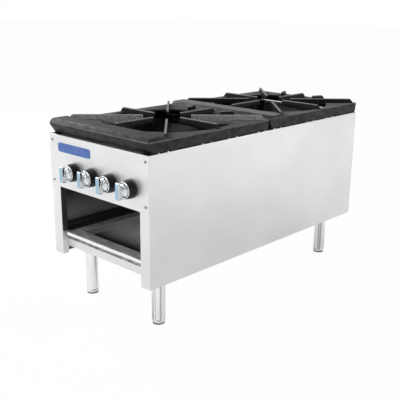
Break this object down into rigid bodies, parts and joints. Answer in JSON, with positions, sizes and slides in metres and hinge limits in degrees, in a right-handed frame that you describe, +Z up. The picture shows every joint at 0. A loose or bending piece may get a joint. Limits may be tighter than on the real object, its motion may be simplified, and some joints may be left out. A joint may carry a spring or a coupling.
{
  "type": "stock pot range",
  "caption": "Open-front floor-standing gas range for stock pots: stainless cabinet on round legs, cast-iron grates over ring burners, control knobs and a drip tray.",
  "frame": {"origin": "on the floor, under the middle of the overall box", "axes": "+Z up, the control panel faces -Y, +X to the right of a cook who faces the panel"},
  "size_m": [0.4572, 1.1292, 0.603],
  "materials": {
    "stainless": "brushed",
    "liner": "satin aluminised sheet",
    "cast_iron": "black semi-matt",
    "brass": "machined",
    "steel_pipe": "dull black pipe",
    "bakelite": "black phenolic",
    "chrome": "polished",
    "blue_enamel": "blue enamel, blank"
  },
  "bodies": {
    "chassis": {"back_panel": "stainless", "badge_plate": "blue_enamel", "centre_cross_bar": "liner", "control_panel": "stainless", "front_apron": "stainless", "front_base_channel": "liner", "front_burner_front_rest": "liner", "front_burner_rear_rest": "liner", "front_inner_burner": "cast_iron", "front_left_leg": "stainless", "front_outer_burner": "cast_iron", "front_pilot_tube": "steel_pipe", "front_right_leg": "stainless", "gas_supply_pipe": "steel_pipe", "gas_valve_1": "brass", "gas_valve_2": "brass", "gas_valve_3": "brass", "gas_valve_4": "brass", "left_side_panel": "stainless", "left_tray_rail": "liner", "manifold_cap": "steel_pipe", "manifold_pipe": "steel_pipe", "orifice_bracket": "liner", "panel_screw_1": "chrome", "panel_screw_2": "chrome", "panel_screw_3": "chrome", "panel_screw_4": "chrome", "rear_base_channel": "liner", "rear_burner_front_rest": "liner", "rear_burner_rear_rest": "liner", "rear_inner_burner": "cast_iron", "rear_inner_feed_tube": "steel_pipe", "rear_left_leg": "stainless", "rear_outer_burner": "cast_iron", "rear_outer_feed_tube": "steel_pipe", "rear_pilot_tube": "steel_pipe", "rear_right_leg": "stainless", "right_side_panel": "stainless", "right_tray_rail": "liner", "supply_elbow": "steel_pipe"},
    "knob_1": {"knob_1_skirt": "bakelite", "knob_1_grip": "chrome", "valve_stem_1": "steel_pipe"},
    "knob_2": {"knob_2_skirt": "bakelite", "knob_2_grip": "chrome", "valve_stem_2": "steel_pipe"},
    "knob_3": {"knob_3_skirt": "bakelite", "knob_3_grip": "chrome", "valve_stem_3": "steel_pipe"},
    "knob_4": {"knob_4_skirt": "bakelite", "knob_4_grip": "chrome", "valve_stem_4": "steel_pipe"},
    "front_left_foot": {"front_left_foot": "stainless"},
    "front_right_foot": {"front_right_foot": "stainless"},
    "rear_left_foot": {"rear_left_foot": "stainless"},
    "rear_right_foot": {"rear_right_foot": "stainless"},
    "front_grate": {"front_grate": "cast_iron"},
    "rear_grate": {"rear_grate": "cast_iron"},
    "drip_tray": {"drip_tray": "liner"}
  },
  "joints": [
    {"name": "knob_1_turn", "type": "hinge", "parent": "chassis", "child": "knob_1", "pos_m": [-0.1079, -0.51535, 0.445], "axis": [0, -1, 0], "range_deg": [0, 90]},
    {"name": "knob_2_turn", "type": "hinge", "parent": "chassis", "child": "knob_2", "pos_m": [-0.0213, -0.51535, 0.445], "axis": [0, -1, 0], "range_deg": [0, 90]},
    {"name": "knob_3_turn", "type": "hinge", "parent": "chassis", "child": "knob_3", "pos_m": [0.0653, -0.51535, 0.445], "axis": [0, -1, 0], "range_deg": [0, 90]},
    {"name": "knob_4_turn", "type": "hinge", "parent": "chassis", "child": "knob_4", "pos_m": [0.1519, -0.51535, 0.445], "axis": [0, -1, 0], "range_deg": [0, 90]},
    {"name": "front_left_foot_adjust", "type": "slide", "parent": "chassis", "child": "front_left_foot", "axis": [0, 0, -1], "range_m": [0, 0.038]},
    {"name": "front_right_foot_adjust", "type": "slide", "parent": "chassis", "child": "front_right_foot", "axis": [0, 0, -1], "range_m": [0, 0.038]},
    {"name": "rear_left_foot_adjust", "type": "slide", "parent": "chassis", "child": "rear_left_foot", "axis": [0, 0, -1], "range_m": [0, 0.038]},
    {"name": "rear_right_foot_adjust", "type": "slide", "parent": "chassis", "child": "rear_right_foot", "axis": [0, 0, -1], "range_m": [0, 0.038]},
    {"name": "front_grate_lift", "type": "slide", "parent": "chassis", "child": "front_grate", "axis": [0, 0, 1], "range_m": [0, 0.15]},
    {"name": "rear_grate_lift", "type": "slide", "parent": "chassis", "child": "rear_grate", "axis": [0, 0, 1], "range_m": [0, 0.15]},
    {"name": "drip_tray_slide", "type": "slide", "parent": "chassis", "child": "drip_tray", "axis": [0, -1, 0], "range_m": [0, 0.5]}
  ]
}
